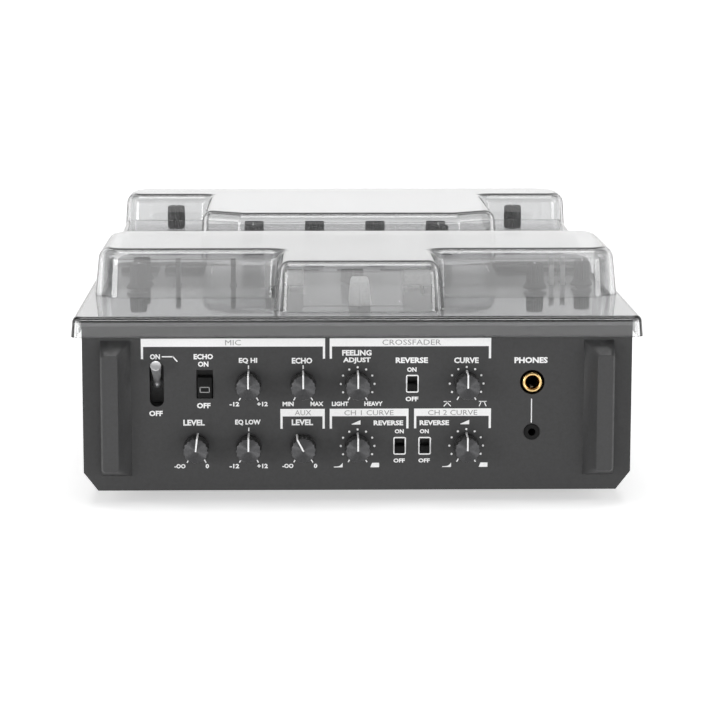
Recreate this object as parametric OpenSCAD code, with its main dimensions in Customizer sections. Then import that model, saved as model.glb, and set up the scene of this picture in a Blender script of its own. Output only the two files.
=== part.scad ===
// Two-channel desktop audio mixer under a clear lift-off dust cover.
// Millimetres. X runs to the right, Y to the rear, Z up. The origin is the middle of the whole
// outline, on the surface that the feet stand on. Depths are counted back from the front panel's face.

/* [Case] */
// Width of the steel case
body_w = 267; // [260:1:280]
// Depth of the case from the front panel's face
body_d = 392.5; // [385:0.5:400]
// Height of the case, from the underside to the deck
body_h = 84; // [80:0.5:86]
// Height of the rubber feet
foot_h = 6; // [4:0.5:8]
// Width of the bevel along the case's lower edges
bevel_w = 7; // [4:1:10]
// Height of the same bevel
bevel_h = 9; // [4:1:12]
// Thickness of the folded case sheet
sheet_t = 1.6; // [1:0.2:2]
// Thickness of the front panel
front_t = 3; // [2:0.5:4]
// Thickness of the deck plate
deck_t = 3; // [2:0.5:3]

/* [Dust cover] */
// Thickness of the clear sheet
cover_t = 2; // [1.5:0.5:3]
// Gap between the skirt and the case
skirt_gap = 3.25; // [2:0.25:4]
// Height of the skirt below the top of its flange
skirt_h = 10.1; // [6:0.1:11]
// Height of the valley's floor above the flange, behind the front dome
valley_h = 5.3; // [5:0.1:8]
// Height of the same floor where it meets the rear dome's sides
plateau_h = 11.3; // [10:0.1:14]
// Height of the front dome above the flange
front_dome_h = 24.4; // [24:0.1:30]
// Height of the rear dome above the flange
rear_dome_h = 26.7; // [26:0.1:32]

/* [Front controls] */
// Height of the upper row of controls
upper_z = 58.6; // [56:0.1:60]
// Height of the lower row of controls
lower_z = 27.9; // [26:0.1:30]
// Distance between columns of knobs
column_pitch = 26.5; // [24:0.5:28]
// Radius of a front knob
knob_r = 6; // [5:0.25:6.5]
// Length of a front knob
knob_len = 11.5; // [9:0.5:12]
// Gap between a knob and the panel
knob_gap = 1; // [0.5:0.25:1.5]

/* [Deck controls] */
// Radius of a channel knob
channel_knob_r = 6; // [5:0.25:6.5]
// Height of a channel knob's top above the deck
channel_knob_top = 12; // [11:0.5:18]
// Radius of a slim level knob
slim_knob_r = 4.6; // [4:0.1:5]
// Height of a slim level knob's top above the deck
slim_knob_top = 14; // [12:0.5:18]
// Height of a trim knob's top above the deck
trim_knob_top = 20.5; // [16:0.5:21]
// Half the travel of the crossfader
fader_half_travel = 22.5; // [20:0.5:24]
// Pitch of the performance pads
pad_pitch = 25; // [24:0.5:26]
// Side of one performance pad
pad_side = 21; // [18:1:22]

/* [Hidden] */
$fn = 48;

// Where the front panel's face lies, so that the whole outline is centred on the origin
rear_overhang = skirt_gap + 1.75;
front_reach = knob_gap + knob_len;
front_y = -(body_d + rear_overhang - front_reach) / 2;

// Heights
case_top = foot_h + body_h;
deck_under = case_top - deck_t;
flange_z = case_top + cover_t;
skirt_z = flange_z - skirt_h;
valley_z = flange_z + valley_h;
plateau_z = flange_z + plateau_h;
front_dome_z = flange_z + front_dome_h;
rear_dome_z = flange_z + rear_dome_h;
cover_half_w = body_w / 2 + skirt_gap + cover_t;
dome_half_w = body_w / 2;
rear_recess = 6;

// How far a cut runs past each face of a sheet
cut = 1;

// Depths of the dust cover's steps
skirt_front = -4.5;
skirt_rear = body_d + rear_overhang;
nose_front = 13.5;
nose_half_w = 41;
shoulder_front = 66;
front_dome_rear = 160;
plateau_rear = 360;
rear_dome_front = 220;
rear_dome_bend = 236;
rear_dome_half_w = 80.5;
rear_side_front = 331;
rear_dome_rear = 378;

// Front controls as [x, z]
column = [for (i = [-3 : 3]) i * column_pitch];
mic_toggle_x = -97.5;
mic_level_x = -78.5;
echo_switch_x = -74.2;
crossfader_reverse_x = 26.6;
channel_1_reverse_x = 20.5;
channel_2_reverse_x = 32.7;
jack_x = 85;
phones_z = 59.2;
mini_z = 34.6;
front_knobs = [[column[1], upper_z], [column[2], upper_z], [column[3], upper_z], [column[5], upper_z],
               [mic_level_x, lower_z], [column[1], lower_z], [column[2], lower_z],
               [column[3], lower_z], [column[5], lower_z]];
aux_turn = 28;
reverse_switches = [[crossfader_reverse_x, upper_z], [channel_1_reverse_x, lower_z],
                    [channel_2_reverse_x, lower_z]];

// Shafts, bushes and sockets
shaft_r = 3;
shaft_bore_r = 3.06;
bush_r = 3.5;
bush_hole_r = 3.56;
phones_bore_r = 3.25;
phones_ring_r = 4.9;
phones_hole_r = 6;
mini_bore_r = 1.8;
mini_bush_r = 3.8;

// Toggle lever
toggle_pivot = 6;
toggle_tilt = 37;
toggle_len = 17.6;
toggle_slot = [6.9, 22];

// Slide switches as [width, height] of the window, and their travel
echo_window = [7.9, 14];
echo_travel = 3;
reverse_window = [4.9, 7.6];
reverse_travel = 3;

// Deck controls as [x, depth]
eq_x = 55.5;
eq_depths = [268, 305, 342];
filter_x = 18.5;
trim_x = 103;
trim_depth = 345;
phones_level_at = [-112, 105];
phones_mix_at = [-112, 138];
sampler_at = [95, 103];
booth_at = [121, 114];
master_at = [0, 122];
deck_knobs = [[-eq_x, eq_depths[0]], [-eq_x, eq_depths[1]], [-eq_x, eq_depths[2]],
              [eq_x, eq_depths[0]], [eq_x, eq_depths[1]], [eq_x, eq_depths[2]],
              [-filter_x, eq_depths[2]], [filter_x, eq_depths[2]],
              [-trim_x, trim_depth], [trim_x, trim_depth],
              phones_level_at, phones_mix_at, sampler_at, booth_at, master_at];
crossfader_depth = 45;
channel_fader_x = 36;
channel_fader_depth = 110;
effect_lever_xs = [-92, -63];
effect_lever_depth = 122;
selector_xs = [106, 112];
selector_depth = 128;
lever_pivot_z = case_top - 4;
lever_w = 2.6;
lever_len = 18.5;
pad_rows = 4;
pad_first = [91, 180];
mode_button = [9, 6];
mode_depth = 284;
mode_pitch = 12;
effect_button = [14, 9];
effect_first = [0, 186];
effect_pitch = [24, 16];
button_rise = 2.5;
mat_t = 2.5;
press = 1;
mat_top = deck_under - press - 0.2;
key_root = mat_top - 0.5;
key_top = case_top + button_rise;
key_gap = [0.8, 0.8];
fader_slot_len = 2 * fader_half_travel + 8;
fader_slot_w = 2.4;
effect_places = [for (i = [-1 : 1], j = [0, 1])
    effect_first + [i * effect_pitch[0], j * effect_pitch[1]]];

// Rear sockets as x positions and heights
rear_face = body_d - rear_recess;
xlr_xs = [-105, -75];
trs_xs = [-50, -32];
rca_xs = [-8, 8, 28, 44];
rca_zs = [38, 58];
usb_xs = [62, 80];
rear_row_z = 48;
inlet_x = 108;
inlet_z = 40;
rocker_z = 66;
screw_r = 1.5;
screw_hole_r = 1.56;
screw_head_r = 3;
side_screw_depths = [60, 200, 340];
side_screw_z = 44;
rear_screw_xs = [-124, -90, 0, 92];
rear_screw_z = 78;
foot_at = [108, 44];
foot_rear_depth = 356;

// Where one side's pads lie, as [x, depth]
function pad_places(side) = [for (i = [0, 1], j = [0 : pad_rows - 1])
    [side * (pad_first[0] + i * pad_pitch), pad_first[1] + j * pad_pitch]];

// Where one side's mode buttons lie, as [x, depth]
function mode_places(side) = [for (i = [0 : 3])
    [side * (pad_first[0] + pad_pitch / 2) + (i - 1.5) * mode_pitch, mode_depth]];

// A unit vector along v
function unit(v) = v / norm(v);

// The arc that rounds the corner b between its neighbours a and c
function rounded_corner(a, b, c, r, steps) =
    let (u = unit(a - b), v = unit(c - b), half = acos(u * v) / 2,
         centre = b + unit(u + v) * r / sin(half),
         from = b + u * r / tan(half) - centre, to = b + v * r / tan(half) - centre,
         start = atan2(from[1], from[0]), turn = atan2(to[1], to[0]) - start,
         sweep = turn > 180 ? turn - 360 : turn < -180 ? turn + 360 : turn)
    [for (i = [0 : steps]) centre + r * [cos(start + sweep * i / steps), sin(start + sweep * i / steps)]];

// An outline with each corner [x, y, radius] rounded
function rounded(corners, steps = 6) =
    let (n = len(corners), p = [for (c = corners) [c[0], c[1]]])
    [for (i = [0 : n - 1])
        each rounded_corner(p[(i + n - 1) % n], p[i], p[(i + 1) % n], corners[i][2], steps)];

// The right half of an outline, mirrored to make the whole of it
function both_sides(half) =
    [each half, each [for (i = [len(half) - 1 : -1 : 0]) [-half[i][0], half[i][1], half[i][2]]]];

// Counts depth back from the front panel's face
module from_front() translate([0, front_y, 0]) children();

// A hole or pin through the front panel: its axis runs forwards from the given depth
module forwards(x, z, depth) translate([x, depth, z]) rotate([90, 0, 0]) children();

// A hole or pin that runs to the rear from the given depth
module backwards(x, z, depth) translate([x, depth, z]) rotate([-90, 0, 0]) children();

// A plate of the given size, centred on x and y
module plate(size, z) translate([-size[0] / 2, -size[1] / 2, z]) cube([size[0], size[1], size[2]]);

// A rectangular opening through the deck, at [x, depth]
module deck_opening(at, size) translate([at[0], at[1], 0]) plate([size[0], size[1], deck_t + 2 * cut], 0);

// One moulded key, at [x, depth], standing on its mat and proud of the deck
module key(at, size) translate([at[0], at[1], 0]) plate([size[0], size[1], key_top - key_root], key_root);

// A slot with round ends, upright, centred on the origin
module upright_slot(size, h) {
    straight = (size[1] - size[0]) / 2;
    for (s = [-1, 1]) translate([0, s * straight, 0]) cylinder(h = h, r = size[0] / 2);
    plate([size[0], 2 * straight, h], 0);
}

// The case's section: flat deck, upright sides and bevelled lower edges, drawn inwards by t
module case_section(t, top) {
    half = body_w / 2 - t;
    slope = t * 0.45;
    polygon([[-half, top], [-half, foot_h + bevel_h + slope], [-half + bevel_w - slope, foot_h + t],
             [half - bevel_w + slope, foot_h + t], [half, foot_h + bevel_h + slope], [half, top]]);
}

// A knob with its moulded spindle, standing on the plane z = 0
module knob(r, top, gap, skirt_r) {
    rotate_extrude() polygon([[0, -9], [shaft_r - 0.3, -9], [shaft_r, -8.7], [shaft_r, gap],
                              [skirt_r, gap], [skirt_r, gap + 1.2], [r + 0.25, gap + 1.4 + skirt_r - r],
                              [r, top - 0.8], [r - 0.8, top], [0, top]]);
    translate([-0.4, 0, gap + 2]) cube([0.8, r + 0.3, top - gap - 2]);
}

module front_knob(at, turn = 0) color([0.06, 0.06, 0.065]) from_front() forwards(at[0], at[1], 0)
    rotate([0, 0, turn]) knob(knob_r, front_reach, knob_gap, knob_r + 0.2);

module deck_knob(at, r, top, skirt_r) color([0.07, 0.07, 0.075])
    from_front() translate([at[0], at[1], case_top]) knob(r, top, 1, skirt_r);

module channel_knob(at, top = channel_knob_top) deck_knob(at, channel_knob_r, top, 6.4);
module slim_knob(at) deck_knob(at, slim_knob_r, slim_knob_top, 6.2);
module trim_knob(at) deck_knob(at, 5.4, trim_knob_top, 6.2);

module bottom_tray() color([0.24, 0.24, 0.25]) from_front() difference() {
    translate([0, body_d, 0]) rotate([90, 0, 0]) linear_extrude(body_d - front_t) difference() {
        case_section(0, deck_under);
        case_section(sheet_t, case_top);
    }
    for (s = [-1, 1], d = side_screw_depths)
        translate([s * (body_w / 2 - 4), d, side_screw_z]) rotate([0, s * 90, 0])
            cylinder(h = 8, r = screw_hole_r);
}

module front_panel() color([0.27, 0.27, 0.28]) from_front() difference() {
    translate([0, front_t, 0]) rotate([90, 0, 0]) linear_extrude(front_t) case_section(0, deck_under);
    for (k = front_knobs) forwards(k[0], k[1], front_t + cut)
        cylinder(h = front_t + 2 * cut, r = bush_hole_r);
    forwards(mic_toggle_x, upper_z, front_t + cut) upright_slot(toggle_slot, front_t + 2 * cut);
    forwards(echo_switch_x, upper_z, front_t + cut)
        plate([echo_window[0], echo_window[1], front_t + 2 * cut], 0);
    for (s = reverse_switches)
        forwards(s[0], s[1], front_t + cut)
            plate([reverse_window[0], reverse_window[1], front_t + 2 * cut], 0);
    forwards(jack_x, phones_z, front_t + cut) cylinder(h = front_t + 2 * cut, r = phones_hole_r);
    forwards(jack_x, mini_z, front_t + cut) cylinder(h = front_t + 2 * cut, r = mini_bush_r + 0.1);
}

module deck_plate() color([0.13, 0.13, 0.14]) from_front() difference() {
    translate([-body_w / 2, 0, deck_under]) cube([body_w, body_d, deck_t]);
    translate([0, 0, deck_under - cut]) {
        for (k = deck_knobs) translate(k) cylinder(h = deck_t + 2 * cut, r = bush_hole_r);
        deck_opening([0, crossfader_depth], [fader_slot_len, fader_slot_w]);
        for (s = [-1, 1]) {
            deck_opening([s * channel_fader_x, channel_fader_depth], [fader_slot_w, fader_slot_len]);
            for (p = pad_places(s)) deck_opening(p, [pad_side, pad_side] + key_gap);
            for (p = mode_places(s)) deck_opening(p, mode_button + key_gap);
        }
        for (x = effect_lever_xs) deck_opening([x, effect_lever_depth], [lever_w + 1, 16]);
        for (x = selector_xs) deck_opening([x, selector_depth], [lever_w + 1, 14]);
        for (p = effect_places) deck_opening(p, effect_button + key_gap);
    }
}

module rear_panel() color([0.2, 0.2, 0.21]) from_front() difference() {
    translate([0, rear_face, 0]) rotate([90, 0, 0]) linear_extrude(sheet_t)
        case_section(sheet_t + 0.1, deck_under - 0.1);
    for (x = xlr_xs) forwards(x, rear_row_z, rear_face + cut) cylinder(h = sheet_t + 2 * cut, r = 11.1);
    for (x = trs_xs) forwards(x, rear_row_z, rear_face + cut) cylinder(h = sheet_t + 2 * cut, r = 5.1);
    for (x = rca_xs, z = rca_zs) forwards(x, z, rear_face + cut) cylinder(h = sheet_t + 2 * cut, r = 4.3);
    for (x = usb_xs) forwards(x, rear_row_z, rear_face + cut) plate([12.4, 11.4, sheet_t + 2 * cut], 0);
    forwards(inlet_x, inlet_z, rear_face + cut) plate([28.4, 20.4, sheet_t + 2 * cut], 0);
    forwards(inlet_x, rocker_z, rear_face + cut) plate([19.4, 13.4, sheet_t + 2 * cut], 0);
    for (x = rear_screw_xs)
        forwards(x, rear_screw_z, rear_face + cut) cylinder(h = sheet_t + 2 * cut, r = screw_hole_r);
}

// One guard bar: a wide foot on the panel and a narrower front face with a sloped inner side
module guard_bar() hull() {
    translate([110, -0.2, 13.4]) cube([14.5, 0.2, 66.6]);
    for (x = [117.2, 121.8], z = [18.6, 72.6]) forwards(x, z, -8.6)
        cylinder(h = 1.4, r1 = 2.4, r2 = 1.4, $fn = 32);
}

module front_bumpers() color([0.25, 0.25, 0.26]) from_front() {
    guard_bar();
    mirror([1, 0, 0]) guard_bar();
}

module rubber_feet() color([0.05, 0.05, 0.05]) from_front()
    for (s = [-1, 1], d = [foot_at[1], foot_rear_depth]) translate([s * foot_at[0], d, 0]) rotate_extrude()
        polygon([[0, 0], [10, 0], [11, 1], [11.8, foot_h], [0, foot_h]]);

module main_board() color([0.06, 0.3, 0.16]) from_front() {
    translate([-120, 20, 22]) cube([180, 340, 1.6]);
    for (x = [-90, 40], d = [50, 190, 330])
        translate([x, d, foot_h + sheet_t]) cylinder(h = 22 - foot_h - sheet_t, r = 3);
    for (d = [80, 180, 270]) translate([-60, d, 23.6]) cube([24, 24, 3]);
    for (i = [0 : 4]) translate([10, 70 + 30 * i, 23.6]) cylinder(h = 11, r = 4);
}

module power_supply() color([0.62, 0.63, 0.65]) from_front() difference() {
    translate([67, 240, foot_h + sheet_t]) cube([50, 110, 34]);
    for (i = [0 : 7]) translate([65, 254 + 12 * i, 16]) cube([6, 5, 20]);
}

// The rail and slot of one sliding fader under the deck, its travel along X
module fader_unit() difference() {
    plate([2 * fader_half_travel + 22, 15, 14], deck_under - 14);
    plate([fader_slot_len, 3, 12], deck_under - 11);
}

module fader_units() color([0.66, 0.66, 0.68]) from_front() {
    translate([0, crossfader_depth, 0]) fader_unit();
    for (s = [-1, 1])
        translate([s * channel_fader_x, channel_fader_depth, 0]) rotate([0, 0, 90]) fader_unit();
}

// A rotary control's body and threaded bush, its shaft bore on the z axis and its panel at z = 0
module potentiometer(panel_t) difference() {
    union() {
        plate([11, 11, 6.5], -panel_t - 6.5);
        translate([0, 0, -panel_t - 0.1]) cylinder(h = panel_t + 0.6, r = bush_r);
    }
    translate([0, 0, -20]) cylinder(h = 30, r = shaft_bore_r);
}

module front_potentiometers() color([0.16, 0.3, 0.42]) from_front()
    for (k = front_knobs) forwards(k[0], k[1], 0) potentiometer(front_t);

module deck_potentiometers() color([0.16, 0.3, 0.42]) from_front()
    for (k = deck_knobs) translate([k[0], k[1], case_top]) potentiometer(deck_t);

module front_switch_bodies() color([0.1, 0.1, 0.1]) from_front() {
    forwards(mic_toggle_x, upper_z, front_t + 14) difference() {
        plate([12, 24, 14], 0);
        plate([7, 22, 12], 3);
    }
    forwards(echo_switch_x, upper_z, front_t + 7) difference() {
        plate([12, 20, 7], 0);
        plate([echo_window[0], echo_window[1], 6], 2);
    }
    for (s = reverse_switches) forwards(s[0], s[1], front_t + 6) difference() {
        plate([9, 14, 6], 0);
        plate([reverse_window[0], reverse_window[1], 5], 2);
    }
}

module phones_jack_ring() color([0.72, 0.55, 0.25]) from_front() forwards(jack_x, phones_z, 11) difference() {
    cylinder(h = 12, r = phones_ring_r);
    translate([0, 0, -1]) cylinder(h = 14, r = phones_bore_r);
}

module jack_bodies() color([0.05, 0.05, 0.05]) from_front() {
    forwards(jack_x, phones_z, 27) difference() {
        plate([16, 18, 16], 0);
        translate([0, 0, 2]) cylinder(h = 15, r = phones_bore_r);
    }
    forwards(jack_x, mini_z, 18) difference() {
        union() {
            plate([12, 12, 18 - front_t], 0);
            cylinder(h = 18.6, r = mini_bush_r);
        }
        translate([0, 0, 3]) cylinder(h = 16, r = mini_bore_r);
    }
}

// A round-shelled microphone or line socket with a three-way insert
module xlr_socket() {
    difference() {
        union() {
            cylinder(h = 22, r = 11);
            plate([26, 31, 1.6], 19.6 + sheet_t);
        }
        for (a = [90, 210, 330]) rotate([0, 0, a]) translate([4.2, 0, 8]) cylinder(h = 20, r = 1.3);
    }
}

module xlr_sockets() color([0.6, 0.6, 0.62]) from_front()
    for (x = xlr_xs) backwards(x, rear_row_z, rear_face - 21.2) xlr_socket();

module rca_sockets() color([0.75, 0.6, 0.3]) from_front() {
    for (x = rca_xs, z = rca_zs) backwards(x, z, rear_face - 8) difference() {
        cylinder(h = 14, r = 4.15);
        translate([0, 0, 4]) cylinder(h = 12, r = 1.6);
    }
    for (x = trs_xs) backwards(x, rear_row_z, rear_face - 22) difference() {
        cylinder(h = 24, r = 5);
        translate([0, 0, 2]) cylinder(h = 24, r = phones_bore_r);
    }
}

module usb_sockets() color([0.7, 0.7, 0.72]) from_front()
    for (x = usb_xs) backwards(x, rear_row_z, rear_face - 15) difference() {
        plate([12, 11, 16], 0);
        plate([8.4, 7.6, 13], 4);
    }

module power_inlet() color([0.05, 0.05, 0.05]) from_front() {
    backwards(inlet_x, inlet_z, rear_face - 18) difference() {
        plate([28, 20, 19.5], 0);
        plate([24, 16, 16], 4);
    }
    backwards(inlet_x, rocker_z, rear_face - 12) difference() {
        plate([19, 13, 13], 0);
        plate([15, 11, 13], 2);
    }
}

module screw() {
    cylinder(h = 5, r = screw_r);
    translate([0, 0, 5]) cylinder(h = 1.2, r1 = screw_head_r, r2 = screw_head_r - 0.8);
}

module case_screws() color([0.1, 0.1, 0.1]) from_front() {
    for (s = [-1, 1], d = side_screw_depths)
        translate([s * (body_w / 2 - 5), d, side_screw_z]) rotate([0, s * 90, 0]) screw();
    for (x = rear_screw_xs) backwards(x, rear_screw_z, rear_face - 5) screw();
}

// The dust cover's outside, drawn inwards by t
module cover_block(half_w, front, rear, z0, z1, r) translate([0, 0, z0]) linear_extrude(z1 - z0)
    polygon(rounded(both_sides([[half_w, front, r], [half_w, rear, r]])));

module cover_form(t, base) {
    cover_block(cover_half_w - t, skirt_front + t, skirt_rear - t, base, flange_z - t, 6 - t);
    intersection() {
        cover_block(dome_half_w - t, front_dome_rear - 20, plateau_rear - t, base, plateau_z - t, 8);
        rotate([90, 0, 90]) translate([0, 0, -dome_half_w]) linear_extrude(2 * dome_half_w)
            polygon([[0, base], [body_d, base], [body_d, plateau_z - t], [rear_side_front, plateau_z - t],
                     [front_dome_rear, valley_z - t], [0, valley_z - t]]);
    }
    translate([0, 0, base]) linear_extrude(front_dome_z - t - base) polygon(rounded(both_sides([
        [nose_half_w - t, nose_front + t, 9 - t], [nose_half_w - t, shoulder_front + t, 6 + t],
        [dome_half_w - t, shoulder_front + t, 17 - t], [dome_half_w - t, front_dome_rear - t, 8 - t]])));
    translate([0, 0, base]) linear_extrude(rear_dome_z - t - base) polygon(rounded(both_sides([
        [62 - t * 0.3, rear_dome_front + t, 5 - t], [rear_dome_half_w - t, rear_dome_bend + t * 0.5, 5 - t],
        [rear_dome_half_w - t, rear_side_front + t, 5 + t], [dome_half_w - t, rear_side_front + t, 8 - t],
        [dome_half_w - t, rear_dome_rear - t, 8 - t]])));
}

module dust_cover() color([0.85, 0.87, 0.88, 0.4]) from_front() difference() {
    cover_form(0, skirt_z);
    cover_form(cover_t, skirt_z - 1);
}

// A fader cap on its stem, the cap narrow along X
module fader_cap(length) {
    plate([1.4, 1.6, 14], case_top - 12);
    translate([0, length / 2, case_top + 1.5]) rotate([90, 0, 0]) linear_extrude(length)
        polygon([[-5.6, 0], [5.6, 0], [4.5, 11], [3.4, 12.2], [-3.4, 12.2], [-4.5, 11]]);
}

module crossfader_cap() color([0.72, 0.73, 0.74]) from_front()
    translate([2, crossfader_depth, 0]) fader_cap(20);

module channel_fader(side) color([0.72, 0.73, 0.74]) from_front()
    translate([side * channel_fader_x, channel_fader_depth, 0]) rotate([0, 0, 90]) fader_cap(20);

module channel_fader_1() channel_fader(-1);
module channel_fader_2() channel_fader(1);

module mic_toggle() color([0.7, 0.7, 0.72]) from_front()
    translate([mic_toggle_x, toggle_pivot, upper_z]) rotate([90 - toggle_tilt, 0, 0]) {
        sphere(r = 2.6);
        cylinder(h = toggle_len - 0.4, r1 = 1.1, r2 = 2.65);
        translate([0, 0, toggle_len - 0.4]) cylinder(h = 0.4, r1 = 2.65, r2 = 2.3);
    }

// A slide switch's cap, standing at the lower end of its window
module slide_cap(x, z, window, travel, cap_h, rise) from_front()
    forwards(x, z - travel / 2, front_t + 3.5) plate([window[0] - 0.8, cap_h, front_t + 3.5 + rise], 0);

module echo_switch() color([0.05, 0.05, 0.05])
    slide_cap(echo_switch_x, upper_z, echo_window, echo_travel, 10.2, 1.5);
module crossfader_reverse_switch() color([0.08, 0.08, 0.08])
    slide_cap(crossfader_reverse_x, upper_z, reverse_window, reverse_travel, 3.6, 2);
module channel_1_reverse_switch() color([0.08, 0.08, 0.08])
    slide_cap(channel_1_reverse_x, lower_z, reverse_window, reverse_travel, 3.6, 2);
module channel_2_reverse_switch() color([0.08, 0.08, 0.08])
    slide_cap(channel_2_reverse_x, lower_z, reverse_window, reverse_travel, 3.6, 2);

module power_rocker() color([0.04, 0.04, 0.04]) from_front()
    translate([inlet_x, rear_face - 3, rocker_z]) rotate([0, 90, 0]) rotate([0, 0, -10]) translate([0, 0, -7])
        linear_extrude(14) polygon([[-4.6, -5], [4.6, -5], [4.6, 3.6], [0, 2.6], [-4.6, 3.6]]);

// A sprung lever that stands in a slot in the deck
module lever(x, depth) from_front() translate([x, depth, lever_pivot_z]) {
    rotate([0, 90, 0]) translate([0, 0, -lever_w / 2]) cylinder(h = lever_w, r = 2);
    translate([-lever_w / 2, -1.1, 0]) cube([lever_w, 2.2, lever_len - 2.4]);
    translate([0, 0, lever_len - 2.4]) rotate([0, 90, 0]) translate([0, 0, -lever_w / 2])
        cylinder(h = lever_w, r = 2.4);
}

module effect_lever_1() color([0.3, 0.3, 0.31]) lever(effect_lever_xs[0], effect_lever_depth);
module effect_lever_2() color([0.3, 0.3, 0.31]) lever(effect_lever_xs[1], effect_lever_depth);
module input_selector_1() color([0.6, 0.6, 0.62]) lever(selector_xs[0], selector_depth);
module input_selector_2() color([0.6, 0.6, 0.62]) lever(selector_xs[1], selector_depth);

// One moulded key mat: performance pads in two columns, with a row of mode buttons behind them
module pads(side) color([0.12, 0.12, 0.13]) from_front() {
    translate([side * (pad_first[0] + pad_pitch / 2) - 25, pad_first[1] - 14, mat_top - mat_t])
        cube([50, 128, mat_t]);
    for (p = pad_places(side)) key(p, [pad_side, pad_side]);
    for (p = mode_places(side)) key(p, mode_button);
}

module pads_left() pads(-1);
module pads_right() pads(1);

module effect_buttons() color([0.15, 0.15, 0.16]) from_front() {
    translate([-34, effect_first[1] - 8, mat_top - mat_t]) cube([68, 32, mat_t]);
    for (p = effect_places) key(p, effect_button);
}

module mic_high_knob() front_knob(front_knobs[0]);
module echo_knob() front_knob(front_knobs[1]);
module feeling_adjust_knob() front_knob(front_knobs[2]);
module crossfader_curve_knob() front_knob(front_knobs[3]);
module mic_level_knob() front_knob(front_knobs[4]);
module mic_low_knob() front_knob(front_knobs[5]);
module aux_level_knob() front_knob(front_knobs[6], aux_turn);
module channel_1_curve_knob() front_knob(front_knobs[7]);
module channel_2_curve_knob() front_knob(front_knobs[8]);
module channel_1_low_knob() channel_knob(deck_knobs[0]);
module channel_1_mid_knob() channel_knob(deck_knobs[1]);
module channel_1_high_knob() channel_knob(deck_knobs[2]);
module channel_2_low_knob() channel_knob(deck_knobs[3]);
module channel_2_mid_knob() channel_knob(deck_knobs[4]);
module channel_2_high_knob() channel_knob(deck_knobs[5]);
module filter_1_knob() channel_knob(deck_knobs[6]);
module filter_2_knob() channel_knob(deck_knobs[7]);
module trim_1_knob() trim_knob(deck_knobs[8]);
module trim_2_knob() trim_knob(deck_knobs[9]);
module phones_level_knob() slim_knob(deck_knobs[10]);
module phones_mix_knob() slim_knob(deck_knobs[11]);
module sampler_level_knob() slim_knob(deck_knobs[12]);
module booth_level_knob() slim_knob(deck_knobs[13]);
module master_level_knob() channel_knob(deck_knobs[14], 10.5);

bottom_tray();
front_panel();
deck_plate();
rear_panel();
front_bumpers();
rubber_feet();
main_board();
power_supply();
fader_units();
front_potentiometers();
deck_potentiometers();
front_switch_bodies();
phones_jack_ring();
jack_bodies();
xlr_sockets();
rca_sockets();
usb_sockets();
power_inlet();
case_screws();
dust_cover();
crossfader_cap();
channel_fader_1();
channel_fader_2();
mic_toggle();
echo_switch();
crossfader_reverse_switch();
channel_1_reverse_switch();
channel_2_reverse_switch();
power_rocker();
effect_lever_1();
effect_lever_2();
input_selector_1();
input_selector_2();
pads_left();
pads_right();
effect_buttons();
mic_high_knob();
echo_knob();
feeling_adjust_knob();
crossfader_curve_knob();
mic_level_knob();
mic_low_knob();
aux_level_knob();
channel_1_curve_knob();
channel_2_curve_knob();
channel_1_high_knob();
channel_1_mid_knob();
channel_1_low_knob();
channel_2_high_knob();
channel_2_mid_knob();
channel_2_low_knob();
filter_1_knob();
filter_2_knob();
trim_1_knob();
trim_2_knob();
phones_level_knob();
phones_mix_knob();
sampler_level_knob();
booth_level_knob();
master_level_knob();
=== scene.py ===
"""A tabletop mixer under its clear dust cover: its finishes and detailed pieces, built around the frame.

Lengths are millimetres. x runs to the right from the case's middle, depth to the rear from the front
panel's face, and z up from the surface that the feet stand on.
"""
import math

import bmesh
import bpy
from mathutils import Matrix, Vector


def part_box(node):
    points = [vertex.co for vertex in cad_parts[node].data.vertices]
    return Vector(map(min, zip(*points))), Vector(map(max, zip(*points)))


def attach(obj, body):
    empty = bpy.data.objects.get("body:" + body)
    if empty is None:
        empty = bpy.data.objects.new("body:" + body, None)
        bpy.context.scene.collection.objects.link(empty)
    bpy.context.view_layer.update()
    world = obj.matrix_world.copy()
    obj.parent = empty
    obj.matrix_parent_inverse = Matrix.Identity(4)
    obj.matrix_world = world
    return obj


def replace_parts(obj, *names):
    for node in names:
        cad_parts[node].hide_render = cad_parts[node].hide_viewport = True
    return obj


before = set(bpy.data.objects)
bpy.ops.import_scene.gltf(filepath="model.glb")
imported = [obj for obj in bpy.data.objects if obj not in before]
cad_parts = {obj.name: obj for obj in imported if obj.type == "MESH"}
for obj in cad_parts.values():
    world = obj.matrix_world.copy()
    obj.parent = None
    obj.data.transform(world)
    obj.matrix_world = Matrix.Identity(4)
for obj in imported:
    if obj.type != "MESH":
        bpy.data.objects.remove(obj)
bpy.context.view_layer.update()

MM = 0.001
front_y_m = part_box("front_panel")[0][1]
deck_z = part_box("deck_plate")[1][2] / MM
TO_FRAME = Matrix.Translation((0, front_y_m, 0)) @ Matrix.Scale(MM, 4)
FACING_USER = Matrix.Rotation(math.radians(90), 4, "X")
FACING_REAR = Matrix.Rotation(math.radians(-90), 4, "X")
rear_face = (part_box("rear_panel")[1][1] - front_y_m) / MM


# ---------------------------------------------------------------- places and meshes

def on_front(x, z, out=0):
    """Local z points at the user and local y up, on the front panel's face."""
    return Matrix.Translation((x, -out, z)) @ FACING_USER


def on_deck(x, depth, up=0):
    """Local z points up from the deck plate."""
    return Matrix.Translation((x, depth, deck_z + up))


def on_rear(x, z, out=0):
    """Local z points to the rear, from the rear panel's face."""
    return Matrix.Translation((x, rear_face + out, z)) @ FACING_REAR


def centre_of(node):
    """The middle of a node's box, as x, depth and z."""
    low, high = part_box(node)
    middle = [(a + b) / 2 / MM for a, b in zip(low, high)]
    return middle[0], middle[1] - front_y_m / MM, middle[2]


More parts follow.
